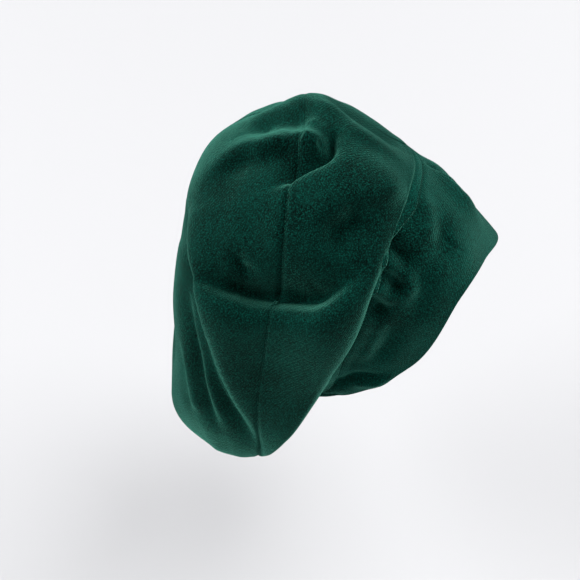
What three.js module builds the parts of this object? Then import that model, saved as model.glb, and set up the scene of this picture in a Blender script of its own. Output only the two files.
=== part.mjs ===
// Slouch beret of cotton velveteen: a two-disc bag worn low at the back, with a deep brim.
// Millimetres. +Z is up, the brim points along -Y, and the wearer's right side is -X.
// The origin is the middle of the head opening, where a head holds the hat.

import * as THREE from 'three';

// Driving sizes
const bagWidth = 216;
const bagDepth = 216;
const bagHeight = 296;
const headWidth = 170;
const headDepth = 138;
const headHeight = 207;
const brimDepth = 106;
const crownWall = 2.0;
const brimLayer = 1.4;
const facingLayer = 1.4;
const weltWidth = 7.0;
const weltRise = 1.2;
const seamGap = 0.3;
const facingSetback = 1.0;
const foldHeight = 11;
const foldBreadth = 17;
const grooveDepth = 1.5;
const grooveBreadth = 5;

// Mesh steps around the head and across each piece
const turnSteps = 74;
const frontSteps = 11;
const backSteps = 13;
const brimSteps = 5;
const weltSteps = 2;

// Stations around each loop, from the top down the right side to the nape. The left mirrors the right.
const stationNames = ['top', 'temple', 'ear', 'jaw', 'drape', 'nape'];

// Head seam. Columns: side, depth and height as shares of headWidth, headDepth and headHeight.
const headSeam = {
  top: [0.0, -0.5, 0.512],
  temple: [-0.318, -0.406, 0.483],
  ear: [-0.494, -0.258, 0.285],
  jaw: [-0.465, -0.13, -0.075],
  drape: [-0.39, 0.02, -0.39],
  nape: [0.0, 0.5, -0.488],
};

// Loops of the bag from the head seam to its back. Columns: reach along the cloth, then side, depth
// and height at each station, as shares of bagWidth, bagDepth and bagHeight.
const bagLoops = [
  { reach: 0.3, top: [0, -0.236, 0.402], temple: [-0.287, -0.171, 0.375], ear: [-0.463, -0.122, 0.166],
    jaw: [-0.481, -0.039, -0.069], drape: [-0.4, 0.097, -0.312], nape: [0, 0.37, -0.38] },
  { reach: 0.6, top: [0, -0.106, 0.456], temple: [-0.296, -0.051, 0.395], ear: [-0.491, -0.014, 0.132],
    jaw: [-0.5, 0.053, -0.13], drape: [-0.47, 0.155, -0.366], nape: [0, 0.42, -0.455] },
  { reach: 1.0, top: [0, 0.051, 0.502], temple: [-0.278, 0.097, 0.395], ear: [-0.426, 0.144, 0.166],
    jaw: [-0.472, 0.218, -0.132], drape: [-0.454, 0.245, -0.465], nape: [0, 0.449, -0.503] },
  { reach: 1.35, top: [0, 0.252, 0.446], temple: [-0.241, 0.275, 0.365], ear: [-0.407, 0.345, 0.139],
    jaw: [-0.444, 0.43, -0.165], drape: [-0.375, 0.475, -0.468], nape: [0, 0.615, -0.5] },
  { reach: 1.7, top: [0, 0.449, 0.309], temple: [-0.157, 0.462, 0.262], ear: [-0.287, 0.508, 0.071],
    jaw: [-0.306, 0.553, -0.175], drape: [-0.222, 0.638, -0.384], nape: [0, 0.66, -0.419] },
];
const bagPole = { reach: 2.0, place: [0, 0.59, -0.098] };

// Brim loops, as steps from the head seam. Columns: reach, then side, depth and height at each station,
// as shares of brimDepth.
const brimLoops = [
  { reach: 0.5, top: [0, -0.415, -0.274], temple: [-0.038, -0.349, -0.217], ear: [-0.019, -0.31, -0.123],
    jaw: [-0.03, -0.292, -0.1], drape: [-0.01, -0.065, -0.08], nape: [0, -0.012, -0.085] },
  { reach: 1.0, top: [0, -0.774, -0.632], temple: [0.038, -0.632, -0.538], ear: [0.038, -0.598, -0.264],
    jaw: [0.001, -0.542, -0.238], drape: [0.003, -0.1, -0.13], nape: [0, -0.03, -0.165] },
];

// Folds of the bag. Columns: path as stops of [turn, reach], rise as a share of foldHeight, breadth on
// the left and the right of the path as shares of foldBreadth, and the share that the left side repeats.
const bagFolds = [
  { name: 'top ridge', path: [[0.008, 0.95], [0.018, 0.84], [0.043, 0.58], [0.052, 0.1]],
    rise: 0.5, breadth: [0.6, 0.8], left: 0.4 },
  { name: 'top valley', path: [[0.0, 0.9], [0.0, 0.5], [0.003, 0.12]],
    rise: -0.7, breadth: [0.9, 0.9], left: 0 },
  { name: 'top back hollow', path: [[0.028, 1.38], [0.036, 1.15], [0.044, 0.93]],
    rise: -0.65, breadth: [0.8, 0.8], left: 0.5 },
  { name: 'upper back line', path: [[0.058, 1.55], [0.068, 1.23], [0.065, 1.12], [0.063, 0.94]],
    rise: 0.45, breadth: [0.8, 0.6], left: 0.7 },
  { name: 'upper hollow', path: [[0.06, 0.83], [0.078, 0.8], [0.088, 0.9], [0.1, 1.12]],
    rise: -1.1, breadth: [0.6, 0.9], left: 0.6 },
  { name: 'upper hollow rim', path: [[0.04, 0.79], [0.066, 0.71], [0.09, 0.73], [0.101, 0.89],
    [0.109, 1.14]], rise: 0.6, breadth: [1.1, 0.6], left: 0.6 },
  { name: 'side ridge', path: [[0.1, 0.0], [0.113, 0.38], [0.126, 0.75], [0.134, 0.9]],
    rise: 0.6, breadth: [0.6, 1.0], left: 0.8 },
  { name: 'side hollow', path: [[0.12, 0.1], [0.125, 0.36], [0.131, 0.53], [0.138, 0.72]],
    rise: -0.8, breadth: [1.0, 0.6], left: 0.8 },
  { name: 'side bulge', path: [[0.14, 1.2], [0.147, 0.92], [0.142, 0.6]],
    rise: 0.5, breadth: [1.2, 1.2], left: 0.7 },
  { name: 'middle hollow', path: [[0.172, 1.46], [0.193, 1.25], [0.206, 1.08], [0.207, 0.96],
    [0.194, 0.79], [0.172, 0.56], [0.155, 0.42]], rise: -1.3, breadth: [1.6, 0.6], left: 0.7 },
  { name: 'middle rim', path: [[0.186, 1.42], [0.204, 1.26], [0.218, 1.05], [0.209, 0.81],
    [0.18, 0.54], [0.164, 0.38]], rise: 0.8, breadth: [0.6, 1.4], left: 0.7 },
  { name: 'back ridge', path: [[0.08, 1.7], [0.145, 1.61], [0.208, 1.45], [0.247, 1.31],
    [0.318, 1.13], [0.37, 0.98]], rise: 0.7, breadth: [1.4, 0.6], left: 0.6 },
  { name: 'back valley', path: [[0.16, 1.62], [0.212, 1.49], [0.25, 1.37], [0.29, 1.25], [0.345, 1.11]],
    rise: -0.9, breadth: [0.6, 0.7], left: 0.6 },
  { name: 'second back ridge', path: [[0.185, 1.63], [0.25, 1.44], [0.305, 1.3], [0.352, 1.21]],
    rise: 0.5, breadth: [0.7, 0.6], left: 0.6 },
  { name: 'second back valley', path: [[0.195, 1.66], [0.255, 1.54], [0.318, 1.38], [0.34, 1.33]],
    rise: -0.5, breadth: [0.6, 0.7], left: 0.6 },
];

// Folds of the brim, with the same columns
const brimFolds = [
  { name: 'top ridge', path: [[0.03, 0.2], [0.032, 0.5], [0.03, 0.85]],
    rise: 0.3, breadth: [0.6, 0.6], left: 0.2 },
  { name: 'top valley', path: [[0.0, 0.15], [0.0, 0.5], [0.0, 0.85]],
    rise: -0.35, breadth: [0.7, 0.7], left: 0 },
  { name: 'front hollow', path: [[0.12, 0.3], [0.138, 0.42], [0.165, 0.55]],
    rise: -0.35, breadth: [0.9, 0.9], left: 0.8 },
  { name: 'ear pucker', path: [[0.198, 0.04], [0.207, 0.22], [0.218, 0.38]],
    rise: -0.4, breadth: [0.6, 0.6], left: 0.8 },
  { name: 'cheek pucker', path: [[0.24, 0.04], [0.252, 0.3], [0.282, 0.44]],
    rise: -0.4, breadth: [0.6, 0.6], left: 0.8 },
  { name: 'side trough', path: [[0.176, 0.3], [0.197, 0.45], [0.217, 0.54], [0.246, 0.68]],
    rise: -0.35, breadth: [0.7, 0.7], left: 0.8 },
];

// Catmull-Rom value between b and c
function spline(a, b, c, d, s) {
  const s2 = s * s;
  const s3 = s2 * s;
  return 0.5 * (2 * b + (c - a) * s + (2 * a - 5 * b + 4 * c - d) * s2 + (3 * b - a - 3 * c + d) * s3);
}

// Point of a closed loop. turn goes from 0 at the top, through the right side, to 1.
function loopPoint(loop, scale, turn) {
  const last = stationNames.length - 1;
  const count = last * 2;
  const place = (((turn % 1) + 1) % 1) * count;
  const first = Math.floor(place);
  const corners = [-1, 0, 1, 2].map((step) => {
    const index = (first + step + count) % count;
    const share = loop[stationNames[index <= last ? index : count - index]];
    const mirror = index <= last ? 1 : -1;
    return [share[0] * mirror * scale.x, share[1] * scale.y, share[2] * scale.z];
  });
  const axis = (k) => spline(corners[0][k], corners[1][k], corners[2][k], corners[3][k], place - first);
  return new THREE.Vector3(axis(0), axis(1), axis(2));
}

const headScale = new THREE.Vector3(headWidth, headDepth, headHeight);
const bagScale = new THREE.Vector3(bagWidth, bagDepth, bagHeight);
const brimScale = new THREE.Vector3(brimDepth, brimDepth, brimDepth);

// Smooth point through rows of [reach, point] at one turn
function throughRows(rows, reach) {
  let k = 0;
  while (k < rows.length - 2 && reach > rows[k + 1].reach) k += 1;
  const from = rows[k];
  const to = rows[k + 1];
  const span = to.reach - from.reach;
  const slope = (i) => {
    const low = rows[Math.max(i - 1, 0)];
    const high = rows[Math.min(i + 1, rows.length - 1)];
    return high.point.clone().sub(low.point).divideScalar(high.reach - low.reach);
  };
  const s = (reach - from.reach) / span;
  const h1 = s * s * (3 - 2 * s);
  const point = from.point.clone().multiplyScalar(1 - h1).addScaledVector(to.point, h1);
  point.addScaledVector(slope(k), span * s * (1 - s) * (1 - s));
  point.addScaledVector(slope(k + 1), -span * s * s * (1 - s));
  return point;
}

function bagBase(turn, reach) {
  const rows = [{ reach: 0, point: loopPoint(headSeam, headScale, turn) }];
  for (const loop of bagLoops) rows.push({ reach: loop.reach, point: loopPoint(loop, bagScale, turn) });
  rows.push({ reach: bagPole.reach, point: new THREE.Vector3(...bagPole.place).multiply(bagScale) });
  const across = bagLoops[bagLoops.length - 1];
  rows.push({
    reach: 2 * bagPole.reach - across.reach,
    point: loopPoint(across, bagScale, turn + 0.5),
  });
  return throughRows(rows, reach);
}

function brimBase(turn, reach) {
  const seam = loopPoint(headSeam, headScale, turn);
  const rows = [{ reach: 0, point: seam }];
  for (const loop of brimLoops) {
    rows.push({ reach: loop.reach, point: loopPoint(loop, brimScale, turn).add(seam) });
  }
  return throughRows(rows, reach);
}

// Outward normal of a surface, by small steps
const normalStep = 0.004;
const bagOutward = -1;
const brimOutward = 1;

function normalOf(surface, outward, turn, reach) {
  const around = surface(turn + normalStep, reach).sub(surface(turn - normalStep, reach));
  const along = surface(turn, reach + normalStep).sub(surface(turn, reach - normalStep));
  return around.cross(along).normalize().multiplyScalar(outward);
}

// Fold lines laid on a base surface, each as a row of points with its two sides
const foldPoints = 20;

function layFolds(table, base, outward) {
  const laid = [];
  for (const fold of table) {
    for (const side of fold.left > 0 ? [1, -1] : [1]) {
      const stops = fold.path.map(([turn, reach]) => new THREE.Vector3(turn * side, reach, 0));
      const curve = new THREE.CatmullRomCurve3(stops);
      const points = [];
      const lefts = [];
      for (let k = 0; k <= foldPoints; k += 1) {
        const stop = curve.getPoint(k / foldPoints);
        points.push(base(stop.x, stop.y));
        lefts.push(normalOf(base, outward, stop.x, stop.y));
      }
      for (let k = 0; k <= foldPoints; k += 1) {
        const ahead = points[Math.min(k + 1, foldPoints)].clone().sub(points[Math.max(k - 1, 0)]);
        lefts[k].cross(ahead).normalize().multiplyScalar(side);
      }
      laid.push({
        points,
        lefts,
        rise: fold.rise * foldHeight * (side > 0 ? 1 : fold.left),
        breadth: fold.breadth.map((share) => share * foldBreadth),
      });
    }
  }
  return laid;
}

// Height that the laid folds add at a place. A fold's breadth turns smoothly from its left to its right,
// and its height fades over a share of its length at each end.
const fadeStart = -0.05;
const fadeEnd = 0.3;

function foldRise(laid, place) {
  let rise = 0;
  for (const fold of laid) {
    let nearest = Infinity;
    let along = 0;
    let side = 0;
    for (let k = 0; k < foldPoints; k += 1) {
      const step = fold.points[k + 1].clone().sub(fold.points[k]);
      const offset = place.clone().sub(fold.points[k]);
      const share = THREE.MathUtils.clamp(offset.dot(step) / step.lengthSq(), 0, 1);
      offset.addScaledVector(step, -share);
      if (offset.lengthSq() < nearest) {
        nearest = offset.lengthSq();
        along = (k + share) / foldPoints;
        side = offset.normalize().dot(fold.lefts[k]);
      }
    }
    const [left, right] = fold.breadth;
    const breadth = THREE.MathUtils.lerp(right, left, (side + 1) / 2);
    const fade = THREE.MathUtils.smoothstep(Math.min(along, 1 - along), fadeStart, fadeEnd);
    rise += fold.rise * fade * Math.exp(-nearest / (breadth * breadth));
  }
  return rise;
}

const laidBag = layFolds(bagFolds, bagBase, bagOutward);
const laidBrim = layFolds(brimFolds, brimBase, brimOutward);

// Reach over which the folds grow from a seam, on the bag and on the brim
const calmReach = 0.12;
const brimCalm = [0.12, 0.36];

// Millimetres of cloth, square to the loop, for one unit of reach
function speedOf(base, turn, reach) {
  const along = base(turn, reach + normalStep).sub(base(turn, reach - normalStep));
  const around = base(turn + normalStep, reach).sub(base(turn - normalStep, reach)).normalize();
  return along.cross(around).length() / (2 * normalStep);
}

function bagSurface(turn, reach) {
  const place = bagBase(turn, reach);
  const fromSeam = (reach - 1) * speedOf(bagBase, turn, 1);
  const groove = grooveDepth * Math.exp(-((fromSeam / grooveBreadth) ** 2));
  const rise = foldRise(laidBag, place) * THREE.MathUtils.smoothstep(reach, 0, calmReach) - groove;
  return place.addScaledVector(normalOf(bagBase, bagOutward, turn, reach), rise);
}

function brimSurface(turn, reach) {
  const place = brimBase(turn, reach);
  const rise = foldRise(laidBrim, place) * THREE.MathUtils.smoothstep(reach, ...brimCalm);
  return place.addScaledVector(normalOf(brimBase, brimOutward, turn, reach), rise);
}

// Direction of the cloth's thickness. At the head seam the crown and the brim share one direction.
function seamNormal(turn) {
  const crown = normalOf(bagBase, bagOutward, turn, normalStep);
  return crown.add(normalOf(brimBase, brimOutward, turn, normalStep)).normalize();
}

function crownNormal(turn, reach) {
  const own = normalOf(bagSurface, bagOutward, turn, Math.min(reach, bagPole.reach - 2 * normalStep));
  const edge = normalOf(bagBase, bagOutward, turn, 1);
  own.lerp(edge, 1 - THREE.MathUtils.smoothstep(Math.abs(reach - 1), 0, calmReach));
  return seamNormal(turn).lerp(own, THREE.MathUtils.smoothstep(reach, 0, calmReach)).normalize();
}

function brimNormal(turn, reach) {
  const own = normalOf(brimSurface, brimOutward, turn, reach);
  return seamNormal(turn).lerp(own, THREE.MathUtils.smoothstep(reach, 0, calmReach)).normalize();
}

// Closed wall of cloth between two skins. across gives, for a turn and a share of the way across, the
// outer and the inner point. With a pole, the last row shrinks to one point on each skin.
function clothWall(across, steps, hasPole) {
  const vertices = [];
  const triangles = [];
  const rows = hasPole ? steps : steps + 1;
  const add = (point) => vertices.push(point.x, point.y, point.z) / 3 - 1;
  const skins = [0, 1].map((skin) => {
    const grid = [];
    for (let j = 0; j < rows; j += 1) {
      const row = [];
      for (let i = 0; i < turnSteps; i += 1) row.push(add(across(i / turnSteps, j / steps)[skin]));
      grid.push(row);
    }
    if (hasPole) grid.push(new Array(turnSteps).fill(add(across(0, 1)[skin])));
    return grid;
  });
  const face = (a, b, c) => {
    if (a !== b && b !== c && c !== a) triangles.push(a, b, c);
  };
  const quad = (a, b, c, d) => {
    face(a, b, c);
    face(a, c, d);
  };
  const [outer, inner] = skins;
  for (let i = 0; i < turnSteps; i += 1) {
    const next = (i + 1) % turnSteps;
    for (let j = 0; j < steps; j += 1) {
      quad(outer[j][i], outer[j][next], outer[j + 1][next], outer[j + 1][i]);
      quad(inner[j][i], inner[j + 1][i], inner[j + 1][next], inner[j][next]);
    }
    quad(outer[0][next], outer[0][i], inner[0][i], inner[0][next]);
    if (!hasPole) quad(outer[steps][next], inner[steps][next], inner[steps][i], outer[steps][i]);
  }
  return outwardGeometry(vertices, triangles);
}

// Geometry with every triangle facing out
function outwardGeometry(vertices, triangles) {
  const corner = (index) => new THREE.Vector3().fromArray(vertices, index * 3);
  let volume = 0;
  for (let k = 0; k < triangles.length; k += 3) {
    const [a, b, c] = [0, 1, 2].map((n) => corner(triangles[k + n]));
    volume += a.dot(b.cross(c));
  }
  if (volume < 0) triangles.reverse();
  const geometry = new THREE.BufferGeometry();
  geometry.setAttribute('position', new THREE.Float32BufferAttribute(vertices, 3));
  geometry.setIndex(triangles);
  geometry.computeVertexNormals();
  return geometry;
}

// Reach of half the seam gap, and of the welt's width, at one turn
function gapReach(base, turn, reach) {
  return seamGap / 2 / speedOf(base, turn, reach);
}

function weltReach(turn) {
  return weltWidth / speedOf(brimBase, turn, normalStep);
}

function velveteen(name) {
  const material = new THREE.MeshStandardMaterial({ color: 0x12503f, roughness: 0.9, metalness: 0 });
  material.name = name;
  return material;
}

function crownFrontPanel() {
  const across = (turn, share) => {
    const from = gapReach(bagBase, turn, normalStep);
    const to = 1 - gapReach(bagBase, turn, 1);
    const reach = THREE.MathUtils.lerp(from, to, share);
    const outer = bagSurface(turn, reach);
    return [outer, outer.clone().addScaledVector(crownNormal(turn, reach), -crownWall)];
  };
  return new THREE.Mesh(clothWall(across, frontSteps, false), velveteen('crown cloth'));
}

function crownBackPanel() {
  const across = (turn, share) => {
    const from = 1 + gapReach(bagBase, turn, 1);
    const reach = THREE.MathUtils.lerp(from, bagPole.reach, share);
    const outer = bagSurface(turn, reach);
    return [outer, outer.clone().addScaledVector(crownNormal(turn, reach), -crownWall)];
  };
  return new THREE.Mesh(clothWall(across, backSteps, true), velveteen('crown cloth'));
}

// The welt stands a little proud of the brim, most along its middle
const weltEdgeShare = 0.3;

function seamWelt() {
  const depth = brimLayer + seamGap + facingLayer;
  const across = (turn, share) => {
    const from = gapReach(brimBase, turn, normalStep);
    const reach = THREE.MathUtils.lerp(from, weltReach(turn), share);
    const place = brimSurface(turn, reach);
    const normal = brimNormal(turn, reach);
    const crown = 1 - (2 * share - 1) ** 2;
    const crowned = weltRise * THREE.MathUtils.lerp(weltEdgeShare, 1, crown);
    return [place.clone().addScaledVector(normal, crowned), place.addScaledVector(normal, -depth)];
  };
  return new THREE.Mesh(clothWall(across, weltSteps, false), velveteen('welt cloth'));
}

// One layer of the brim, from a depth below its outer face
function brimPanel(depth, thickness, setback) {
  const across = (turn, share) => {
    const from = weltReach(turn) + 2 * gapReach(brimBase, turn, weltReach(turn));
    const shortBy = share < 1 ? 0 : setback / speedOf(brimBase, turn, 1);
    const reach = THREE.MathUtils.lerp(from, 1, share) - shortBy;
    const place = brimSurface(turn, reach);
    const normal = brimNormal(turn, reach);
    const upper = place.clone().addScaledVector(normal, -depth);
    return [upper, place.addScaledVector(normal, -depth - thickness)];
  };
  return clothWall(across, brimSteps, false);
}

function brimTop() {
  return new THREE.Mesh(brimPanel(0, brimLayer, 0), velveteen('brim cloth'));
}

function brimFacing() {
  const depth = brimLayer + seamGap;
  return new THREE.Mesh(brimPanel(depth, facingLayer, facingSetback), velveteen('facing cloth'));
}

const beret = new THREE.Group();
const pieces = {
  crown_back_panel: crownBackPanel(),
  crown_front_panel: crownFrontPanel(),
  seam_welt: seamWelt(),
  brim_top: brimTop(),
  brim_facing: brimFacing(),
};
for (const [name, mesh] of Object.entries(pieces)) {
  mesh.name = name;
  beret.add(mesh);
}

export default beret;
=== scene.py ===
import math

import bpy
import numpy as np
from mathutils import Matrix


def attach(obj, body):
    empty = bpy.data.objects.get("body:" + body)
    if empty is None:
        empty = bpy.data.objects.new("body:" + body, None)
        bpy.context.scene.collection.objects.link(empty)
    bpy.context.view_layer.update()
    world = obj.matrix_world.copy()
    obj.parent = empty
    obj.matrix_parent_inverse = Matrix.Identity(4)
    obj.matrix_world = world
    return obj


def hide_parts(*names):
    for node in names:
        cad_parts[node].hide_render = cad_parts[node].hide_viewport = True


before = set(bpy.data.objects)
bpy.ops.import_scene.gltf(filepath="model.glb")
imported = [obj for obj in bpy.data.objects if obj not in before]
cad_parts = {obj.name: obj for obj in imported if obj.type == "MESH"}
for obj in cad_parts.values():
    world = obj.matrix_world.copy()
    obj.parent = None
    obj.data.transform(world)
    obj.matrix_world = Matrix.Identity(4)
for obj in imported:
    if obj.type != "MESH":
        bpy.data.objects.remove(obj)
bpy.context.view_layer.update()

# Sizes of the hat, in millimetres. The origin is the middle of the head opening, the brim points
# along -Y and the wearer's right side is -X.
hat = {
    "bagWidth": 216, "bagDepth": 216, "bagHeight": 296,
    "headWidth": 170, "headDepth": 138, "headHeight": 207,
    "brimDepth": 106,
}

turnCount = 700  # mesh columns around the head
# Stations down the right side, mirrored on the left
stationNames = ["top", "temple", "ear", "jaw", "drape", "nape"]

# Head seam: side, depth and height as shares of headWidth, headDepth and headHeight
headSeam = {
    "top": (0.0, -0.5, 0.512), "temple": (-0.318, -0.406, 0.483), "ear": (-0.494, -0.258, 0.285),
    "jaw": (-0.465, -0.13, -0.075), "drape": (-0.39, 0.02, -0.39), "nape": (0.0, 0.5, -0.488),
}

# Loops of the bag: reach along the cloth, then shares of bagWidth, bagDepth and bagHeight.
# Reach is 0 at the head seam, 1 at the edge seam and 2 in the middle of the back disc.
bagLoops = [
    {"reach": 0.3, "top": (0, -0.236, 0.402), "temple": (-0.287, -0.171, 0.375),
     "ear": (-0.463, -0.122, 0.166), "jaw": (-0.481, -0.039, -0.069),
     "drape": (-0.4, 0.097, -0.312), "nape": (0, 0.37, -0.38)},
    {"reach": 0.6, "top": (0, -0.106, 0.456), "temple": (-0.296, -0.051, 0.395),
     "ear": (-0.491, -0.014, 0.132), "jaw": (-0.5, 0.053, -0.13),
     "drape": (-0.47, 0.155, -0.366), "nape": (0, 0.42, -0.455)},
    {"reach": 1.0, "top": (0, 0.051, 0.502), "temple": (-0.278, 0.097, 0.395),
     "ear": (-0.426, 0.144, 0.166), "jaw": (-0.472, 0.218, -0.132),
     "drape": (-0.454, 0.245, -0.465), "nape": (0, 0.449, -0.503)},
    {"reach": 1.35, "top": (0, 0.252, 0.446), "temple": (-0.241, 0.275, 0.365),
     "ear": (-0.407, 0.345, 0.139), "jaw": (-0.444, 0.43, -0.165),
     "drape": (-0.375, 0.475, -0.468), "nape": (0, 0.615, -0.5)},
    {"reach": 1.7, "top": (0, 0.449, 0.309), "temple": (-0.157, 0.462, 0.262),
     "ear": (-0.287, 0.508, 0.071), "jaw": (-0.306, 0.553, -0.175),
     "drape": (-0.222, 0.638, -0.384), "nape": (0, 0.66, -0.419)},
]
bagPole = {"reach": 2.0, "place": (0, 0.59, -0.098)}

# Loops of the brim, as steps from the head seam in shares of brimDepth. Reach is 1 at the edge.
brimLoops = [
    {"reach": 0.5, "top": (0, -0.415, -0.274), "temple": (-0.038, -0.349, -0.217),
     "ear": (-0.019, -0.31, -0.123), "jaw": (-0.03, -0.292, -0.1),
     "drape": (-0.01, -0.065, -0.08), "nape": (0, -0.012, -0.085)},
    {"reach": 1.0, "top": (0, -0.774, -0.632), "temple": (0.038, -0.632, -0.538),
     "ear": (0.038, -0.598, -0.264), "jaw": (0.001, -0.542, -0.238),
     "drape": (0.003, -0.1, -0.13), "nape": (0, -0.03, -0.165)},
]

# Folds of the bag: path as stops of (turn, reach), rise as a share of the folding height, breadth
# left and right of the path as shares of the folding breadth, sharpness of its crest. Where the
# cloth tucks in behind a crest, tuck is its depth, tuckBreadth how far it goes on to the left and
# lean how far the crest hangs over it. Turn is 0 over the front of the crown and 0.5 at the nape.
# Left is the share of the fold that the left side of the hat repeats.
bagFolds = {
    "topRidge": {
        "path": [(0.052, 0.1), (0.049, 0.45), (0.043, 0.58), (0.032, 0.7), (0.018, 0.84),
                 (0.008, 0.95)],
        "rise": 0.4, "breadth": (0.4, 0.8), "sharp": 0.5, "left": 0.4},
    "topValley": {
        "path": [(0.0, 0.9), (0.0, 0.5), (0.003, 0.12)],
        "rise": -0.5, "breadth": (0.8, 0.8), "sharp": 0.1, "left": 0},
    "topBackHollow": {
        "path": [(0.028, 1.38), (0.036, 1.15), (0.044, 0.93)],
        "rise": -0.8, "breadth": (0.8, 0.8), "sharp": 0, "left": 0.5},
    "upperBackLine": {
        "path": [(0.094, 1.6), (0.066, 1.36), (0.069, 1.23), (0.066, 1.12), (0.064, 0.94)],
        "rise": 0.42, "breadth": (0.9, 0.3), "sharp": 0.6, "left": 0.7},
    "underTheBackLine": {
        "path": [(0.094, 1.52), (0.077, 1.36), (0.079, 1.22), (0.077, 1.07), (0.073, 0.97)],
        "rise": -0.5, "breadth": (0.3, 0.9), "sharp": 0.2, "left": 0.7},
    "seamBump": {
        "path": [(0.066, 0.985), (0.069, 0.92), (0.072, 0.84)],
        "rise": 0.75, "breadth": (0.4, 0.4), "sharp": 0.3, "left": 0.4},
    "upperHollowRim": {
        "path": [(0.109, 1.16), (0.106, 1.0), (0.1, 0.87), (0.09, 0.735), (0.075, 0.69),
                 (0.06, 0.73), (0.05, 0.82)],
        "rise": 0.4, "breadth": (0.4, 1.0), "sharp": 0.4, "tuck": 1.0, "tuckBreadth": 0.9,
        "lean": 0.8, "left": 0.6},
    "sideRidge": {
        "path": [(0.095, 0.0), (0.104, 0.19), (0.111, 0.32), (0.118, 0.46), (0.126, 0.59),
                 (0.132, 0.7), (0.14, 0.86)],
        "rise": 0.75, "breadth": (0.45, 1.1), "sharp": 0.3, "left": 0.8},
    "sideHollow": {
        "path": [(0.128, 0.42), (0.134, 0.51), (0.141, 0.62), (0.148, 0.76)],
        "rise": -0.7, "breadth": (0.65, 0.5), "sharp": 0.1, "left": 0.8},
    "sideBulge": {
        "path": [(0.145, 1.2), (0.152, 0.92), (0.147, 0.6)],
        "rise": 0.5, "breadth": (1.2, 1.2), "sharp": 0, "left": 0.7},
    "smallArc": {
        "path": [(0.165, 1.27), (0.177, 1.24), (0.189, 1.17)],
        "rise": -0.35, "breadth": (0.3, 0.3), "sharp": 0.4, "left": 0},
    "middleRim": {
        "path": [(0.172, 1.56), (0.186, 1.42), (0.204, 1.26), (0.216, 1.12), (0.218, 0.98),
                 (0.209, 0.81), (0.195, 0.66), (0.18, 0.54), (0.164, 0.38)],
        "rise": 0.9, "breadth": (0.5, 1.5), "sharp": 0.3, "tuck": 1.7, "tuckBreadth": 1.4,
        "lean": 0.9, "left": 0.7},
    "seamPinch": {
        "path": [(0.213, 0.87), (0.214, 0.93), (0.219, 1.0), (0.214, 1.06)],
        "rise": 0.3, "breadth": (0.2, 0.35), "sharp": 0.4, "left": 0},
    "backRidge": {
        "path": [(0.37, 0.98), (0.341, 1.06), (0.318, 1.13), (0.285, 1.21), (0.247, 1.31),
                 (0.208, 1.45), (0.172, 1.56), (0.145, 1.61), (0.117, 1.64), (0.08, 1.7)],
        "rise": 0.5, "breadth": (0.4, 1.4), "sharp": 0.3, "tuck": 0.95, "tuckBreadth": 1.1,
        "lean": 0.3, "left": 0.6},
    "secondBackRidge": {
        "path": [(0.352, 1.21), (0.33, 1.25), (0.305, 1.3), (0.271, 1.38), (0.25, 1.44),
                 (0.221, 1.53), (0.185, 1.63)],
        "rise": 0.45, "breadth": (0.4, 0.7), "sharp": 0.3, "tuck": 0.6, "tuckBreadth": 0.8,
        "lean": 0.3, "left": 0.6},
    "lowBackFlat": {
        "path": [(0.24, 1.82), (0.33, 1.84), (0.385, 1.79), (0.415, 1.7)],
        "rise": -0.38, "breadth": (0.7, 0.7), "sharp": 0, "left": 0.8},
    "lowCorner": {
        "path": [(0.393, 1.33), (0.397, 1.2), (0.395, 1.05)],
        "rise": 0.22, "breadth": (0.9, 0.9), "sharp": 0, "left": 0.8},
    "thirdBackRidge": {
        "path": [(0.338, 1.41), (0.318, 1.45), (0.287, 1.53), (0.25, 1.64)],
        "rise": 0.3, "breadth": (0.35, 0.5), "sharp": 0.4, "tuck": 0.25, "tuckBreadth": 0.6,
        "lean": 0.2, "left": 0.5},
}

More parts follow.
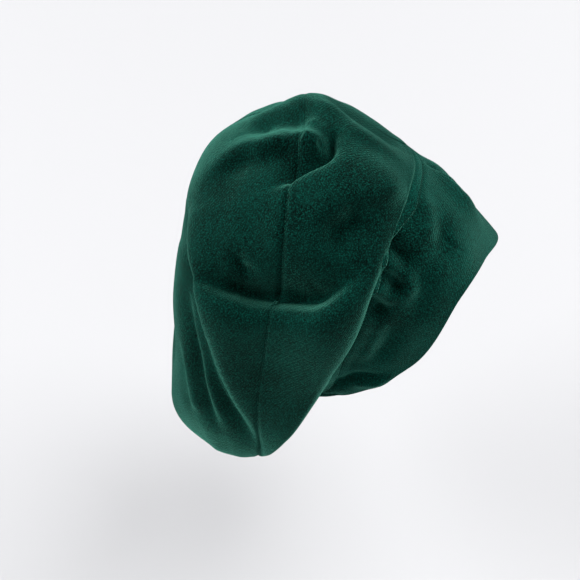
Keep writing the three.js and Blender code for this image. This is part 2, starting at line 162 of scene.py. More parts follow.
# Folds of the brim, in the same columns
brimFolds = {
    "brimTopRidge": {
        "path": [(0.008, 0.08), (0.018, 0.24), (0.038, 0.34), (0.046, 0.47), (0.043, 0.75)],
        "rise": 0.55, "breadth": (0.4, 0.6), "sharp": 0.4, "left": 0.3},
    "brimTopValley": {
        "path": [(0.0, 0.1), (0.0, 0.3), (0.002, 0.5), (0.0, 0.8)],
        "rise": -0.8, "breadth": (0.55, 0.55), "sharp": 0, "left": 0},
    "frontLight": {
        "path": [(0.1, 0.05), (0.11, 0.15), (0.13, 0.24), (0.155, 0.33)],
        "rise": 0.4, "breadth": (0.6, 0.6), "sharp": 0.2, "left": 0.8},
    "frontHollow": {
        "path": [(0.115, 0.5), (0.13, 0.42), (0.145, 0.5), (0.165, 0.6)],
        "rise": -0.4, "breadth": (0.8, 0.8), "sharp": 0.1, "left": 0.8},
    "firstPucker": {
        "path": [(0.158, 0.0), (0.166, 0.08), (0.17, 0.15), (0.176, 0.26)],
        "rise": -0.55, "breadth": (0.26, 0.3), "sharp": 0.3, "left": 0.8},
    "firstShadow": {
        "path": [(0.17, 0.05), (0.179, 0.17), (0.186, 0.3)],
        "rise": -0.3, "breadth": (0.35, 0.35), "sharp": 0.1, "left": 0.8},
    "firstGather": {
        "path": [(0.188, 0.03), (0.19, 0.13), (0.195, 0.28), (0.208, 0.4), (0.222, 0.48)],
        "rise": 0.35, "breadth": (0.45, 0.45), "sharp": 0.0, "left": 0.8},
    "secondPucker": {
        "path": [(0.194, 0.0), (0.2, 0.13), (0.207, 0.22), (0.217, 0.3)],
        "rise": -0.6, "breadth": (0.28, 0.3), "sharp": 0.3, "left": 0.8},
    "secondGather": {
        "path": [(0.215, 0.0), (0.222, 0.16), (0.232, 0.3)],
        "rise": 0.3, "breadth": (0.4, 0.4), "sharp": 0.0, "left": 0.8},
    "thirdPucker": {
        "path": [(0.223, 0.0), (0.234, 0.12), (0.25, 0.24)],
        "rise": -0.75, "breadth": (0.35, 0.35), "sharp": 0.2, "left": 0.8},
    "thirdGather": {
        "path": [(0.246, 0.16), (0.262, 0.27), (0.28, 0.28), (0.3, 0.29), (0.318, 0.33)],
        "rise": 0.35, "breadth": (0.55, 0.55), "sharp": 0.0, "left": 0.8},
    "thirdShadow": {
        "path": [(0.242, 0.3), (0.268, 0.41), (0.287, 0.44), (0.312, 0.5)],
        "rise": -0.45, "breadth": (0.5, 0.6), "sharp": 0.1, "left": 0.8},
    "sideTrough": {
        "path": [(0.176, 0.3), (0.197, 0.45), (0.217, 0.54), (0.246, 0.68)],
        "rise": -0.4, "breadth": (0.55, 0.55), "sharp": 0.1, "left": 0.8},
    "lowerTuck": {
        "path": [(0.315, 0.95), (0.335, 0.82), (0.341, 0.6), (0.345, 0.33)],
        "rise": 0.4, "breadth": (0.5, 0.3), "sharp": 0.4, "left": 0.8},
    "lowerCrease": {
        "path": [(0.325, 0.9), (0.338, 0.45), (0.35, 0.32), (0.37, 0.2)],
        "rise": -0.5, "breadth": (0.3, 0.35), "sharp": 0.3, "left": 0.8},
    "underCrease": {
        "path": [(0.405, 0.35), (0.392, 0.6), (0.375, 0.85)],
        "rise": -0.3, "breadth": (0.25, 0.25), "sharp": 0.3, "left": 0.8},
}


def scaleOf(a, b, c):
    return np.array([hat[a], hat[b], hat[c]], float)


headScale = scaleOf("headWidth", "headDepth", "headHeight")
bagScale = scaleOf("bagWidth", "bagDepth", "bagHeight")
brimScale = scaleOf("brimDepth", "brimDepth", "brimDepth")
normalStep = 0.004  # of turn and reach, for slopes of the surfaces
bagOutward, brimOutward = -1, 1  # which way the surfaces' own normals point


def catmullRom(a, b, c, d, s):  # between b and c
    return 0.5 * (2 * b + (c - a) * s + (2 * a - 5 * b + 4 * c - d) * s ** 2
                  + (3 * b - a - 3 * c + d) * s ** 3)


def loopPoints(loop, scale, turn):  # points of a closed loop at an array of turns
    half = np.array([loop[name] for name in stationNames], float)
    mirrored = half[-2:0:-1] * (-1, 1, 1)
    ring = np.concatenate([half, mirrored]) * scale
    place = (np.asarray(turn, float) % 1) * len(ring)
    first = np.floor(place).astype(int)
    corners = [ring[(first + k) % len(ring)] for k in (-1, 0, 1, 2)]
    return catmullRom(*corners, (place - first)[..., None])


def throughRows(reaches, rows, reach):  # smooth surface through rows of loops
    reaches = np.array(reaches, float)
    reach = np.asarray(reach, float)
    last = len(reaches) - 1
    slopes = []
    for i in range(last + 1):
        low, high = max(i - 1, 0), min(i + 1, last)
        slopes.append((rows[high] - rows[low]) / (reaches[high] - reaches[low]))
    rows = np.stack(rows).reshape(last + 1, -1, 3)
    slopes = np.stack(slopes).reshape(last + 1, -1, 3)
    row = np.clip(np.searchsorted(reaches, reach, side="left") - 1, 0, last - 1)
    pick = np.arange(reach.size)

    def take(values, index):
        return values[index, pick].reshape(reach.shape + (3,))

    span = (reaches[row + 1] - reaches[row])[..., None]
    s = ((reach - reaches[row])[..., None]) / span
    h = s * s * (3 - 2 * s)
    row = row.ravel()
    point = take(rows, row) * (1 - h) + take(rows, row + 1) * h
    point = point + take(slopes, row) * span * s * (1 - s) ** 2
    return point - take(slopes, row + 1) * span * s * s * (1 - s)


def bagBase(turn, reach):  # the bag without its folds
    turn, reach = np.broadcast_arrays(np.asarray(turn, float), np.asarray(reach, float))
    reaches = [0.0] + [loop["reach"] for loop in bagLoops] + [bagPole["reach"]]
    rows = [loopPoints(headSeam, headScale, turn)]
    rows += [loopPoints(loop, bagScale, turn) for loop in bagLoops]
    rows.append(np.broadcast_to(np.array(bagPole["place"]) * bagScale, turn.shape + (3,)))
    across = bagLoops[-1]  # met again on the far side of the pole
    reaches.append(2 * bagPole["reach"] - across["reach"])
    rows.append(loopPoints(across, bagScale, turn + 0.5))
    return throughRows(reaches, rows, reach)


def brimBase(turn, reach):  # the brim without its folds
    turn, reach = np.broadcast_arrays(np.asarray(turn, float), np.asarray(reach, float))
    seam = loopPoints(headSeam, headScale, turn)
    rows = [seam] + [seam + loopPoints(loop, brimScale, turn) for loop in brimLoops]
    return throughRows([0.0] + [loop["reach"] for loop in brimLoops], rows, reach)


def unit(v):
    return v / np.maximum(np.linalg.norm(v, axis=-1, keepdims=True), 1e-9)


def slopesOf(base, turn, reach):  # differences around the head and along the cloth
    around = base(turn + normalStep, reach) - base(turn - normalStep, reach)
    along = base(turn, reach + normalStep) - base(turn, reach - normalStep)
    return around, along


def normalOf(base, outward, turn, reach):
    return unit(np.cross(*slopesOf(base, turn, reach))) * outward


def speedOf(base, turn, reach):  # millimetres of cloth, square to the loop, for one unit of reach
    around, along = slopesOf(base, turn, reach)
    return np.linalg.norm(np.cross(along, unit(around)), axis=-1) / (2 * normalStep)


def acrossSeam(base, turn, reach):  # along the cloth, square to the loop, toward higher reach
    around, along = slopesOf(base, turn, reach)
    around = unit(around)
    return unit(along - (along * around).sum(-1, keepdims=True) * around)


def atHeadSeam(turn):  # a reach as near the head seam as slopes allow
    return np.full_like(turn, normalStep)


def smoothStep(x, low, high):
    s = np.clip((x - low) / (high - low), 0, 1)
    return s * s * (3 - 2 * s)


def smoothPath(stops, count):  # smooth line through the stops of a fold
    stops = np.array(stops, float)
    padded = np.concatenate([[2 * stops[0] - stops[1]], stops, [2 * stops[-1] - stops[-2]]])
    place = np.linspace(0, len(stops) - 1, count + 1)
    first = np.minimum(place.astype(int), len(stops) - 2)
    return catmullRom(*(padded[first + k] for k in range(4)), (place - first)[:, None])


# How every fold is drawn, with lengths in millimetres
folding = {
    "height": 11, "breadth": 17,                    # what the tables' shares are of
    "crestRadius": 5, "crestFall": 1.6,             # roundness and steepness of a sharp crest
    "tuckOffset": 8, "tuckWall": 7, "tuckSharp": 0.4,
    "leanWall": 0.6, "leanSlope": 1.7, "leanEase": 2,
    "ends": (-0.05, 0.3),                           # shares of a path over which it fades in
    "blend": 1.5,                                   # blends the sides of a bent path
    "farthest": 3.2,                                # breadths beyond which a fold does nothing
    "pathSteps": 36,
}


def profile(distance, breadth, sharp):  # from 1 on a fold's path to 0 beside it
    smooth = np.exp(-((distance / breadth) ** 2))
    radius = folding["crestRadius"]
    rounded = np.sqrt(distance ** 2 + radius ** 2) - radius
    crest = np.exp(-folding["crestFall"] * rounded / breadth)
    return smooth + sharp * (crest - smooth)


# How places lie to a path: distance, share along it, side from -1 to 1, and the way to its left
def besidePath(places, points, lefts):
    links = points[1:] - points[:-1]
    offset = places[None] - points[:-1, None]
    share = (offset * links[:, None]).sum(-1) / np.maximum((links ** 2).sum(-1), 1e-9)[:, None]
    share = np.clip(share, 0, 1)
    offset -= share[..., None] * links[:, None]
    away = np.linalg.norm(offset, axis=-1)
    nearest = away.min(0)
    weight = np.exp((nearest - away) / folding["blend"])
    weight /= weight.sum(0)
    along = (weight * (np.arange(len(links))[:, None] + share)).sum(0) / len(links)
    aside = (offset * lefts[:-1, None]).sum(-1) / np.maximum(away, 1e-6)
    return nearest, along, (weight * aside).sum(0), weight.T @ lefts[:-1]


def foldMove(table, base, outward, place, normal):  # how far the folds move a surface's places
    move = np.zeros(place.shape).reshape(-1, 3)
    flat, normals = place.reshape(-1, 3), normal.reshape(-1, 3)
    for fold in table.values():
        left, right = (share * folding["breadth"] for share in fold["breadth"])
        tuck, lean = fold.get("tuck", 0), fold.get("lean", 0) * folding["height"]
        tuckBreadth = fold.get("tuckBreadth", 0) * folding["breadth"]
        for side in (1, -1) if fold["left"] > 0 else (1,):
            path = smoothPath(fold["path"], folding["pathSteps"])
            turn, reach = path[:, 0] * side, path[:, 1]
            points = base(turn, reach)
            ahead = np.gradient(points, axis=0)
            lefts = unit(np.cross(normalOf(base, outward, turn, reach), ahead)) * side
            reachOut = max(left, right, tuckBreadth) * folding["farthest"]
            low, high = points.min(0) - reachOut, points.max(0) + reachOut
            near = np.nonzero(((flat > low) & (flat < high)).all(1))[0]
            if not len(near):
                continue
            away, along, sideways, leftward = besidePath(flat[near], points, lefts)
            fade = smoothStep(np.minimum(along, 1 - along), *folding["ends"])
            height = fade * folding["height"] * (1 if side > 0 else fold["left"])
            if not tuck:
                breadth = right + (left - right) * (sideways + 1) / 2
                shape = fold["rise"] * profile(away, breadth, fold["sharp"])
                move[near] += normals[near] * (shape * height)[:, None]
                continue
            past = away * sideways + lean  # from the crest, which leans to the path's own line
            breadth = np.where(past > 0, left, right)
            shape = fold["rise"] * profile(np.abs(past), breadth, fold["sharp"])
            over = past - folding["tuckOffset"]
            wide = np.where(over > 0, tuckBreadth, folding["tuckWall"])
            shape = shape - tuck * profile(np.abs(over), wide, folding["tuckSharp"])
            ease = folding["leanEase"]
            slope = np.where(past > 0, folding["leanWall"] * (folding["tuckOffset"] + ease),
                             folding["leanSlope"] * (lean + ease))
            slide = lean * np.exp(-((past / slope) ** 2)) * height / folding["height"]
            move[near] += normals[near] * (shape * height)[:, None] + leftward * slide[:, None]
    return move.reshape(place.shape)


# Seams of the cloth, in millimetres
seams = {
    "gap": 0.08,                                       # left open between two sewn edges
    "edgeDepths": (0.4, 1.2, 2.4, 4), "allowance": 6,  # rows of the turned-in edges
    "allowanceWall": 1.3,
    "grooveDepth": 1.5, "grooveBreadth": 1.9,          # groove of the bag's edge seam
    "topGroove": 0.3, "topTurns": (0.01, 0.12),        # it is shallower over the top
    "rollHeight": 2.2, "rollBreadth": 14,              # the crown's cloth beside the head seam
    "stripRoll": 1.0, "stripRollBreadth": 9,           # the brim's cloth beside the strip
    "calmReach": 0.12,                                 # within it the folds die out
}

# Strip at the head seam, in millimetres
welt = {"width": 7.0, "rise": 1.2, "lip": 2.0, "lipLayer": 0.5, "underRoom": 0.1, "rows": 10}

# Where the crown hangs over the head seam: how far the brim slips under it and sinks, in
# millimetres, the reach over which that fades, and the turns where it starts and ends
flap = {"slip": 10, "sink": 3.2, "fade": 0.24, "start": (0.113, 0.17), "end": (0.33, 0.41),
        "allowanceCut": 0.7}


def sideTurn(turn):  # 0 over the front, 0.5 at the nape, the same on both sides
    return np.abs((turn + 0.5) % 1 - 0.5)


def seamRoll(distance, breadth):  # from 0 at a seam up to a roll beside it and down again
    rising = 1 - np.exp(-((distance / seams["grooveBreadth"]) ** 2))
    return rising * np.exp(-((distance / breadth) ** 2))


def bagSurface(turn, reach):
    place = bagBase(turn, reach)
    normal = normalOf(bagBase, bagOutward, turn, reach)
    fromSeam = (reach - 1) * speedOf(bagBase, turn, np.ones_like(reach))
    fromHead = reach * speedOf(bagBase, turn, np.full_like(reach, normalStep))
    groove = seams["grooveDepth"] * np.exp(-((fromSeam / seams["grooveBreadth"]) ** 2))
    deeper = (1 - seams["topGroove"]) * smoothStep(sideTurn(turn), *seams["topTurns"])
    groove = groove * (seams["topGroove"] + deeper)
    roll = seams["rollHeight"] * seamRoll(fromHead, seams["rollBreadth"])
    calm = smoothStep(reach, 0, seams["calmReach"])[..., None]
    folds = foldMove(bagFolds, bagBase, bagOutward, place, normal) * calm
    return place + folds + normal * (roll - groove)[..., None]


def flapShare(turn):  # 1 where the crown hangs over the head seam, 0 where the seam shows
    side = sideTurn(turn)
    return smoothStep(side, *flap["start"]) * (1 - smoothStep(side, *flap["end"]))


def weltReach(turn):  # where the strip ends on the brim
    return welt["width"] / speedOf(brimBase, turn, atHeadSeam(turn))


def brimSurface(turn, reach):
    place = brimBase(turn, reach)
    normal = normalOf(brimBase, brimOutward, turn, reach)
    edge = atHeadSeam(turn)
    under = (acrossSeam(bagBase, turn, edge) * flap["slip"]
             - normalOf(bagBase, bagOutward, turn, edge) * flap["sink"])
    under = under * (flapShare(turn) * (1 - smoothStep(reach, 0, flap["fade"])))[..., None]
    past = np.maximum(reach - weltReach(turn), 0) * speedOf(brimBase, turn, edge)
    roll = seams["stripRoll"] * seamRoll(past, seams["stripRollBreadth"])
    calm = smoothStep(reach, 0, seams["calmReach"])[..., None]
    folds = foldMove(brimFolds, brimBase, brimOutward, place, normal) * calm
    return place + under + folds + normal * roll[..., None]


def gridNormals(points, outward):  # of a grid of rows around the head
    around = np.roll(points, -1, axis=1) - np.roll(points, 1, axis=1)
    along = np.gradient(points, axis=0)
    return unit(np.cross(around, along)) * outward


def softened(points, passes):  # the grid with its small creases smoothed away
    for _ in range(passes):
        around = (np.roll(points, 1, axis=1) + np.roll(points, -1, axis=1)) / 2
        middle = points.copy()
        middle[1:-1] = (points[:-2] + points[2:]) / 2
        points = 0.5 * points + 0.25 * around + 0.25 * middle
    return points


# One closed body of cloth from rows of points around the head. With poles, the first and the last
# row shrink to a point; otherwise the last row joins the first.
def ringMesh(name, rows, cloth, poles=False):
    rows = np.asarray(rows)
    count, columns = rows.shape[:2]
    vertices = rows.reshape(-1, 3)
    index = np.arange(count * columns).reshape(count, columns)
    if poles:
        vertices = np.concatenate([rows[1:-1].reshape(-1, 3), rows[:1, 0], rows[-1:, 0]])
        inner = np.arange((count - 2) * columns).reshape(count - 2, columns)
        first, last = np.full((1, columns), inner.size), np.full((1, columns), inner.size + 1)
        index = np.concatenate([first, inner, last])
    row = np.arange(count - 1 if poles else count)
    column = np.arange(columns)
    nextRow, nextColumn = (row + 1) % count, (column + 1) % columns
    a, b = index[row][:, column], index[row][:, nextColumn]
    c, d = index[nextRow][:, nextColumn], index[nextRow][:, column]
    faces = np.stack([a, b, c, d], -1).reshape(-1, 4)
    corners = clothCorners(rows, row, column).reshape(-1, 4, 2)
    lists, maps = [], []
    for face, uv in zip(faces.tolist(), corners.tolist()):
        if face[0] == face[1]:  # at the first pole
            face, uv = [face[0], face[2], face[3]], [uv[0], uv[2], uv[3]]
        elif face[2] == face[3]:  # at the last pole
            face, uv = face[:3], uv[:3]
        lists.append(face)
        maps += uv
    mesh = bpy.data.meshes.new(name)
    mesh.from_pydata((vertices / 1000).tolist(), [], lists)
    layer = mesh.uv_layers.new(name="cloth")
    layer.data.foreach_set("uv", np.array(maps).ravel())
    return finishPiece(name, mesh, cloth)


def clothCorners(rows, row, column):  # texture places of a ring's faces, in metres of cloth
    count, columns = rows.shape[:2]
    steps = np.linalg.norm(np.diff(rows, axis=0), axis=-1).mean(1)
    along = np.cumsum(np.concatenate([[0], steps]))
    along = np.append(along, along[-1] + 1)
    around = np.linalg.norm(rows - np.roll(rows, 1, axis=1), axis=-1).sum(1).mean()
    shape = (len(row), columns)
    near = np.broadcast_to(column / columns, shape) * around
    far = np.broadcast_to((column + 1) / columns, shape) * around
    low = np.broadcast_to(along[row][:, None], shape)
    high = np.broadcast_to(along[row + 1][:, None], shape)
    pairs = ((near, low), (far, low), (far, high), (near, high))
    return np.stack([np.stack(pair, -1) for pair in pairs], 2) / 1000


def finishPiece(name, mesh, look):  # faced outward, smooth, and on the root body
    piece = bpy.data.objects.new(name, mesh)
    bpy.context.scene.collection.objects.link(piece)
    mesh.validate()
    places = np.zeros(len(mesh.vertices) * 3)
    mesh.vertices.foreach_get("co", places)
    mesh.calc_loop_triangles()
    triangles = np.zeros(len(mesh.loop_triangles) * 3, int)
    mesh.loop_triangles.foreach_get("vertices", triangles)
    a, b, c = places.reshape(-1, 3)[triangles.reshape(-1, 3)].transpose(1, 0, 2)
    if (a * np.cross(b, c)).sum() < 0:
        mesh.flip_normals()
    mesh.polygons.foreach_set("use_smooth", np.ones(len(mesh.polygons), bool))
    mesh.materials.append(look)
    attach(piece, "root")
    print(name, "has", len(mesh.loop_triangles), "triangles")
    return piece


print("stage: cloth materials")

# Colours, sheen and nap of the cloth, with sizes in metres. Change these to recolour the hat.
velveteenLook = {
    "shade": (0.0001, 0.003, 0.0022), "lit": (0.002, 0.053, 0.038),
    "sheenWeight": 0.45, "sheenTint": (0.24, 0.97, 0.71, 1), "sheenRoughness": 0.33,
    "specular": 0.03, "bumpStrength": 0.6, "bumpDistance": 0.0006,
    "ribWidth": 0.0022, "grainSize": 0.0009, "patchSize": 0.03,
}
# Painted light and shade: the brim and the strip get lighter copies of the same cloth and the
# facing under the brim a darker one, standing in for how light falls on them
paintedLightOfPiece = {"crown": 1.0, "brim": 1.4, "welt": 1.7, "facing": 0.8}  # of each piece's cloth

# How the nap is mixed: its ribs' direction, the mottling's size in grains, the noise above which
# the grain shows specks, and how much each part lightens, raises or roughens the cloth
napMix = {
    "ribDegrees": 52, "mottleGrains": 4.0, "speckFloor": 0.06,
    "light": {"start": 0.32, "grain": 1.4, "specks": 7.0, "mottle": 0.4, "patch": 0.6,
              "ribs": 0.05},
    "height": {"ribs": 0.15, "grain": 2.0},
    "rough": {"start": 0.85, "grain": 0.15},
    "grainDetail": 2, "patchDetail": 3,
}
mixSlots = {"a": 6, "b": 7, "result": 2}  # where a colour mix node has its colours


def addNode(tree, kind, **values):
    node = tree.nodes.new(kind)
    for name, value in values.items():
        setattr(node, name, value)
    return node


def napGroup():  # colour, height and roughness of a short dense nap
    group = bpy.data.node_groups.new("velveteenNap", "ShaderNodeTree")
    number, colour = "NodeSocketFloat", "NodeSocketColor"
    for name, kind, value in (
            ("ribWidth", number, 0.002), ("grainSize", number, 0.001), ("patchSize", number, 0.03),
            ("shade", colour, (0, 0, 0, 1)), ("lit", colour, (1, 1, 1, 1))):
        group.interface.new_socket(name, in_out="INPUT", socket_type=kind).default_value = value
    for name, kind in (("color", colour), ("height", number), ("rough", number)):
        group.interface.new_socket(name, in_out="OUTPUT", socket_type=kind)
    given = addNode(group, "NodeGroupInput")
    out = addNode(group, "NodeGroupOutput")
    link = group.links.new
    cloth = addNode(group, "ShaderNodeUVMap", uv_map="cloth")
    place = addNode(group, "ShaderNodeTexCoord")
    turned = addNode(group, "ShaderNodeMapping")
    turned.inputs["Rotation"].default_value = (0, 0, math.radians(napMix["ribDegrees"]))
    link(cloth.outputs["UV"], turned.inputs["Vector"])
    parts = addNode(group, "ShaderNodeSeparateXYZ")
    link(turned.outputs["Vector"], parts.inputs["Vector"])

    def maths(operation, a, b):
        node = addNode(group, "ShaderNodeMath", operation=operation)
        for slot, value in enumerate((a, b)):
            if isinstance(value, (int, float)):
                node.inputs[slot].default_value = value
            elif value is not None:
                link(value, node.inputs[slot])
        return node.outputs["Value"]

    def noise(size, detail):  # between -0.5 and 0.5
        node = addNode(group, "ShaderNodeTexNoise")
        node.inputs["Detail"].default_value = detail
        link(maths("DIVIDE", 1.0, size), node.inputs["Scale"])
        link(place.outputs["Object"], node.inputs["Vector"])
        return maths("SUBTRACT", node.outputs["Fac"], 0.5)

    waves = maths("DIVIDE", parts.outputs["X"], given.outputs["ribWidth"])
    ribs = maths("SINE", maths("MULTIPLY", waves, 2 * math.pi), None)
    grain = noise(given.outputs["grainSize"], napMix["grainDetail"])
    mottleSize = maths("MULTIPLY", given.outputs["grainSize"], napMix["mottleGrains"])
    mottle = noise(mottleSize, napMix["grainDetail"])
    patch = noise(given.outputs["patchSize"], napMix["patchDetail"])
    specks = maths("MAXIMUM", maths("SUBTRACT", grain, napMix["speckFloor"]), 0.0)
    light = napMix["light"]
    total = maths("MULTIPLY", grain, light["grain"])
    for part, name in ((specks, "specks"), (mottle, "mottle"), (patch, "patch"), (ribs, "ribs")):
        total = maths("ADD", total, maths("MULTIPLY", part, light[name]))
    mask = addNode(group, "ShaderNodeClamp")
    link(maths("ADD", total, light["start"]), mask.inputs["Value"])
    mix = addNode(group, "ShaderNodeMix", data_type="RGBA")
    link(mask.outputs["Result"], mix.inputs["Factor"])
    link(given.outputs["shade"], mix.inputs[mixSlots["a"]])
    link(given.outputs["lit"], mix.inputs[mixSlots["b"]])
    link(mix.outputs[mixSlots["result"]], out.inputs["color"])
    height, rough = napMix["height"], napMix["rough"]
    ribHeight = maths("MULTIPLY", ribs, height["ribs"])
    grainHeight = maths("MULTIPLY", grain, height["grain"])
    link(maths("ADD", ribHeight, grainHeight), out.inputs["height"])
    grainRough = maths("MULTIPLY", grain, rough["grain"])
    link(maths("ADD", grainRough, rough["start"]), out.inputs["rough"])
    return group


nap = napGroup()


def velveteen(name, paintedLight):
    material = bpy.data.materials.new(name)
    material.use_nodes = True
    tree = material.node_tree
    shader = tree.nodes["Principled BSDF"]
    group = addNode(tree, "ShaderNodeGroup", node_tree=nap)
    for size in ("ribWidth", "grainSize", "patchSize"):
        group.inputs[size].default_value = velveteenLook[size]
    for tone in ("shade", "lit"):
        # the nap's colours scaled by the piece's painted light and shade
        group.inputs[tone].default_value = [c * paintedLight for c in velveteenLook[tone]] + [1]
    bump = addNode(tree, "ShaderNodeBump")
    bump.inputs["Strength"].default_value = velveteenLook["bumpStrength"]
    bump.inputs["Distance"].default_value = velveteenLook["bumpDistance"]
    tree.links.new(group.outputs["color"], shader.inputs["Base Color"])
    tree.links.new(group.outputs["rough"], shader.inputs["Roughness"])
    tree.links.new(group.outputs["height"], bump.inputs["Height"])
    tree.links.new(bump.outputs["Normal"], shader.inputs["Normal"])
    shader.inputs["Specular IOR Level"].default_value = velveteenLook["specular"]
    shader.inputs["Sheen Weight"].default_value = velveteenLook["sheenWeight"]
    shader.inputs["Sheen Roughness"].default_value = velveteenLook["sheenRoughness"]
    shader.inputs["Sheen Tint"].default_value = velveteenLook["sheenTint"]
    return material


crownCloth = velveteen("crownVelveteen", paintedLightOfPiece["crown"])
brimCloth = velveteen("brimVelveteen", paintedLightOfPiece["brim"])
weltCloth = velveteen("weltVelveteen", paintedLightOfPiece["welt"])
facingCloth = velveteen("facingVelveteen", paintedLightOfPiece["facing"])

print("stage: crown")

# Both discs of the bag, in millimetres. The inner skin has one row for each insideStep outer rows,
# and keeps edgeRoom away from the seams.
crown = {
    "wall": 2.0, "edgeRoom": 3.2, "smoothing": 6,
    "frontRows": 88, "backRows": 90, "insideStep": 3,
    "seamCrowding": 0.6, "backCrowding": 1.35,  # rows lie closer together at the seams
}

turns = np.arange(turnCount) / turnCount
one = np.ones_like(turns)


def seamNormals(turn):  # midway between the crown and the brim at the head seam
    edge = atHeadSeam(turn)
    crownNormal = normalOf(bagBase, bagOutward, turn, edge)
    return unit(crownNormal + normalOf(brimBase, brimOutward, turn, edge))


def clothUnder(points):  # the inner skin below a grid of the crown's outer points
    smooth = softened(points, crown["smoothing"])
    return smooth - gridNormals(smooth, bagOutward) * crown["wall"]


def gapReach(base, turn, reach):
    return seams["gap"] / 2 / speedOf(base, turn, reach)


# Rows that turn a cloth edge inward beside a seam: down its face, across, and back up behind it
def turnedEdge(edge, down, back, share=1.0):
    depths = seams["edgeDepths"] + (seams["allowance"],)
    deep = [np.reshape(depth * share, (-1, 1)) for depth in depths]
    face = [edge + down * d for d in deep]
    behind = [edge + down * d + back * seams["allowanceWall"] for d in deep[:0:-1]]
    return np.stack(face + behind)


def rowsPast(rows, edge):  # how many rows of the inner skin lie too close to an edge
    away = np.linalg.norm(rows - edge, axis=-1).mean(1)
    return int((away < crown["edgeRoom"]).sum())


def makeFront():
    start = gapReach(bagBase, turns, atHeadSeam(turns))
    end = 1 - gapReach(bagBase, turns, one)
    share = np.linspace(0, 1, crown["frontRows"] + 1)[:, None]
    share = share - crown["seamCrowding"] * np.sin(2 * math.pi * share) / (2 * math.pi)
    reach = start + (end - start) * share
    outer = bagSurface(np.broadcast_to(turns, reach.shape), reach)
    inner = clothUnder(outer[::crown["insideStep"]])
    backEdge = turnedEdge(outer[-1], -normalOf(bagBase, bagOutward, turns, one),
                          -acrossSeam(bagBase, turns, one))
    headEdge = turnedEdge(outer[0], -seamNormals(turns),
                          acrossSeam(bagBase, turns, atHeadSeam(turns)),
                          1 - flap["allowanceCut"] * flapShare(turns))
    near, far = rowsPast(inner, outer[0]), rowsPast(inner, outer[-1])
    rows = [outer, backEdge, inner[near:len(inner) - far][::-1], headEdge[::-1]]
    return ringMesh("crownFront", np.concatenate(rows), crownCloth)


def makeBack():
    start = 1 + gapReach(bagBase, turns, one)
    share = np.linspace(0, 1, crown["backRows"] + 1)[:, None] ** crown["backCrowding"]
    reach = start + (bagPole["reach"] - start) * share
    outer = bagSurface(np.broadcast_to(turns, reach.shape), reach)
    inner = clothUnder(outer[:-1:crown["insideStep"]])
    innerPole = np.broadcast_to(inner[-1].mean(0), (1,) + inner[-1].shape)
    edge = turnedEdge(outer[0], -normalOf(bagBase, bagOutward, turns, one),
                      acrossSeam(bagBase, turns, one))
    rows = [innerPole, inner[rowsPast(inner, outer[0]):][::-1], edge[::-1], outer]
    return ringMesh("crownBack", np.concatenate(rows), crownCloth, poles=True)


crownFront = makeFront()
crownBack = makeBack()

print("stage: brim")

# Both layers of the brim, in millimetres. The outer one rolls around the edge of the facing.
brim = {
    "layer": 1.4, "facingLayer": 1.4, "layerGap": 0.3, "rows": 60,
    "rollAngles": (1.35, -1.5), "rollRows": 9, "rollRoom": 0.1, "facingShort": 0.25,
}


def makeBrim():
    start = weltReach(turns) + 2 * gapReach(brimBase, turns, weltReach(turns))
    radius = (brim["layer"] + brim["layerGap"] + brim["facingLayer"]) / 2
    end = 1 - radius / speedOf(brimBase, turns, one)
    share = np.linspace(0, 1, brim["rows"] + 1)[:, None]
    reach = start + (end - start) * share
    outer = brimSurface(np.broadcast_to(turns, reach.shape), reach)
    normal = gridNormals(outer, brimOutward)
    forward = unit(outer[-1] - outer[-2])

    def rolled(r):  # rows around the brim's edge at a radius
        angles = np.linspace(*brim["rollAngles"], brim["rollRows"])
        return np.stack([outer[-1] - normal[-1] * (radius - r * math.sin(a))
                         + forward * r * math.cos(a) for a in angles])

    innerRoll = rolled(radius - brim["layer"] + brim["rollRoom"])
    under = outer - normal * brim["layer"]
    rows = [outer, rolled(radius), innerRoll[::-1], under[:-1][::-1]]
    top = ringMesh("brimTop", np.concatenate(rows), brimCloth)
    depth = brim["layer"] + brim["layerGap"]
    facingEnd = end - brim["facingShort"] / speedOf(brimBase, turns, one)
    reach = start + (facingEnd - start) * share
    outer = brimSurface(np.broadcast_to(turns, reach.shape), reach)
    normal = gridNormals(outer, brimOutward)
    upper = outer - normal * depth
    lower = outer - normal * (depth + brim["facingLayer"])
    facing = ringMesh("brimFacing", np.concatenate([upper, lower[::-1]]), facingCloth)
    return top, facing


def stripRise(share):  # how far the strip bulges, from one of its edges to the other
    return welt["rise"] * (1 - (2 * share - 1) ** 4)


def makeWelt():  # the strip, with a lip that goes on under the brim's cloth
    start = gapReach(brimBase, turns, atHeadSeam(turns))
    end = weltReach(turns)
    share = np.linspace(0, 1, welt["rows"] + 1)[:, None]
    reach = start + (end - start) * share
    place = brimSurface(np.broadcast_to(turns, reach.shape), reach)
    seam = seamNormals(turns)
    brimward = smoothStep(reach, 0, seams["calmReach"])[..., None]
    normal = unit(seam + (gridNormals(place, brimOutward) - seam) * brimward)
    crowned = stripRise(share)
    outer = place + normal * crowned[..., None]
    depth = brim["layer"] + brim["layerGap"] + brim["facingLayer"] + welt["underRoom"]
    pastEnd = end + welt["lip"] / speedOf(brimBase, turns, end)
    beyond = brimSurface(turns, pastEnd)
    beyondNormal = normalOf(brimBase, brimOutward, turns, pastEnd)
    lip = np.stack([outer[-1] - normal[-1] * (depth + crowned[-1]), beyond - beyondNormal * depth,
                    beyond - beyondNormal * (depth + welt["lipLayer"])])
    inner = place - normal * (depth + welt["lipLayer"])
    return ringMesh("weltStrip", np.concatenate([outer, lip, inner[::-1]]), weltCloth)


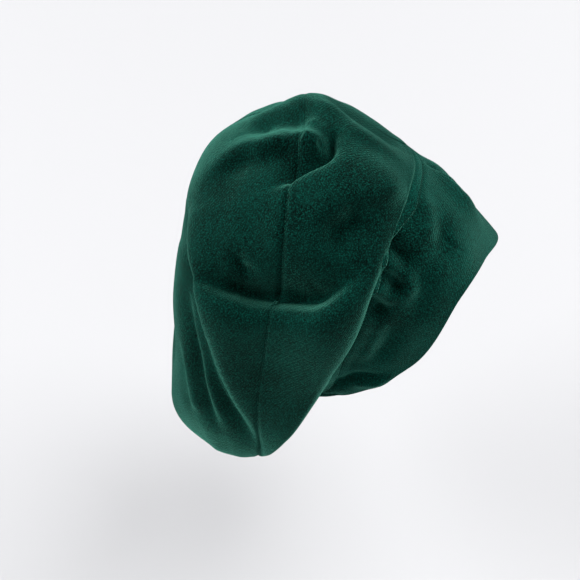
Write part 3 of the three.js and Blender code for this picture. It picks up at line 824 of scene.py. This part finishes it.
# Topstitching of the strip, in millimetres. Rings are the shape of one stitch: place along it as a
# share of its length, and width as a share of its radius.
stitch = {
    "pitch": 2.6, "length": 1.7, "radius": 0.32, "inset": 0.9, "sides": 6,
    "rings": ((-0.5, 0.45), (-0.36, 0.9), (0, 1.0), (0.36, 0.9), (0.5, 0.45)),
    "lineSteps": 4000, "lookAhead": 0.4,
    "color": (0.001, 0.02, 0.014, 1), "roughness": 0.9, "specular": 0.1,
}


def makeStitches():  # one row along the strip's outer edge
    turn = np.arange(stitch["lineSteps"] + 1) / stitch["lineSteps"]
    reach = weltReach(turn) - stitch["inset"] / speedOf(brimBase, turn, atHeadSeam(turn))
    upward = seamNormals(turn)
    line = brimSurface(turn, reach) + upward * stripRise(reach / weltReach(turn))[:, None]
    length = np.concatenate([[0], np.cumsum(np.linalg.norm(np.diff(line, axis=0), axis=1))])
    total = round(length[-1] / stitch["pitch"])
    sides, rings = stitch["sides"], stitch["rings"]
    vertices, faces = [], []

    def along(rows, place):  # a row's value at a length of the line
        return np.array([np.interp(place, length, rows[:, axis]) for axis in range(3)])

    for k in range(total):
        place = (k + 0.5) * length[-1] / total
        at = along(line, place)
        ahead = unit(along(line, place + stitch["lookAhead"]) - at)
        across = unit(np.cross(ahead, unit(along(upward, place))))
        up = np.cross(across, ahead)
        first = len(vertices)
        for shift, width in rings:
            for n in range(sides):
                angle = 2 * math.pi * n / sides
                ring = (across * math.cos(angle) + up * math.sin(angle)) * stitch["radius"] * width
                vertices.append((at + ahead * shift * stitch["length"] + ring) / 1000)
        for row in range(len(rings) - 1):
            for n in range(sides):
                a, b = first + row * sides + n, first + row * sides + (n + 1) % sides
                faces.append((a, b, b + sides, a + sides))
        faces.append([first + n for n in range(sides)][::-1])
        faces.append([first + (len(rings) - 1) * sides + n for n in range(sides)])
    mesh = bpy.data.meshes.new("topStitches")
    mesh.from_pydata([tuple(v) for v in vertices], [], faces)
    return finishPiece("topStitches", mesh, threadLook)


def makeThread():
    thread = bpy.data.materials.new("greenThread")
    thread.use_nodes = True
    shader = thread.node_tree.nodes["Principled BSDF"]
    shader.inputs["Base Color"].default_value = stitch["color"]
    shader.inputs["Roughness"].default_value = stitch["roughness"]
    shader.inputs["Specular IOR Level"].default_value = stitch["specular"]
    return thread


threadLook = makeThread()
brimTop, brimFacing = makeBrim()
weltStrip = makeWelt()
topStitches = makeStitches()

for piece, node in ((crownFront, "crown_front_panel"), (crownBack, "crown_back_panel"),
                    (brimTop, "brim_top"), (brimFacing, "brim_facing"), (weltStrip, "seam_welt")):
    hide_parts(node)

print("stage: camera, light and floor")

# Places and lengths in metres
view = {
    "cameraPlace": (-0.330, 0.023, 0.231), "downDegrees": 37.5,
    "sensorWidth": 36, "lensShare": 450 / 580,  # of the sensor's width
    "floorHeight": -0.37, "floorHalf": 15,
    "floorColor": (0.52, 0.52, 0.53, 1), "floorRoughness": 0.8,
    "worldColor": (0.93, 0.94, 1.0, 1), "worldStrength": 0.22,
}

# Each light with the way from the hat toward it, its spread in degrees and its power
lights = (
    {"name": "topLight", "toward": (0.15, -0.35, 1.0), "spread": 50, "power": 1.7},
    {"name": "frontLight", "toward": (0.15, -0.9, 1.0), "spread": 50, "power": 2.4},
    {"name": "backLight", "toward": (0.0, 1.0, 0.35), "spread": 50, "power": 4.6},
)


def makeCamera():
    data = bpy.data.cameras.new("camera")
    data.lens = view["sensorWidth"] * view["lensShare"]
    data.sensor_width = view["sensorWidth"]
    camera = bpy.data.objects.new("camera", data)
    camera.location = view["cameraPlace"]
    camera.rotation_euler = (math.radians(90 - view["downDegrees"]), 0, math.radians(-90))
    bpy.context.scene.collection.objects.link(camera)
    bpy.context.scene.camera = camera


def makeFloor():
    mesh = bpy.data.meshes.new("floor")
    half = view["floorHalf"]
    corners = [(-half, -half, 0), (half, -half, 0), (half, half, 0), (-half, half, 0)]
    mesh.from_pydata(corners, [], [(0, 1, 2, 3)])
    floor = bpy.data.objects.new("floor", mesh)
    floor.location.z = view["floorHeight"]
    bpy.context.scene.collection.objects.link(floor)
    material = bpy.data.materials.new("paleFloor")
    material.use_nodes = True
    shader = material.node_tree.nodes["Principled BSDF"]
    shader.inputs["Base Color"].default_value = view["floorColor"]
    shader.inputs["Roughness"].default_value = view["floorRoughness"]
    mesh.materials.append(material)


def addSun(name, toward, spread, power):
    data = bpy.data.lights.new(name, "SUN")
    data.angle = math.radians(spread)
    data.energy = power
    lamp = bpy.data.objects.new(name, data)
    x, y, z = toward
    lamp.rotation_euler = (math.atan2(math.hypot(x, y), z), 0, math.atan2(x, -y))
    bpy.context.scene.collection.objects.link(lamp)


def makeWorld():
    world = bpy.data.worlds.new("softRoom")
    world.use_nodes = True
    background = world.node_tree.nodes["Background"]
    background.inputs["Color"].default_value = view["worldColor"]
    background.inputs["Strength"].default_value = view["worldStrength"]
    bpy.context.scene.world = world


makeCamera()
makeFloor()
for light in lights:
    addSun(**light)
makeWorld()
bpy.context.scene.view_settings.view_transform = "Standard"
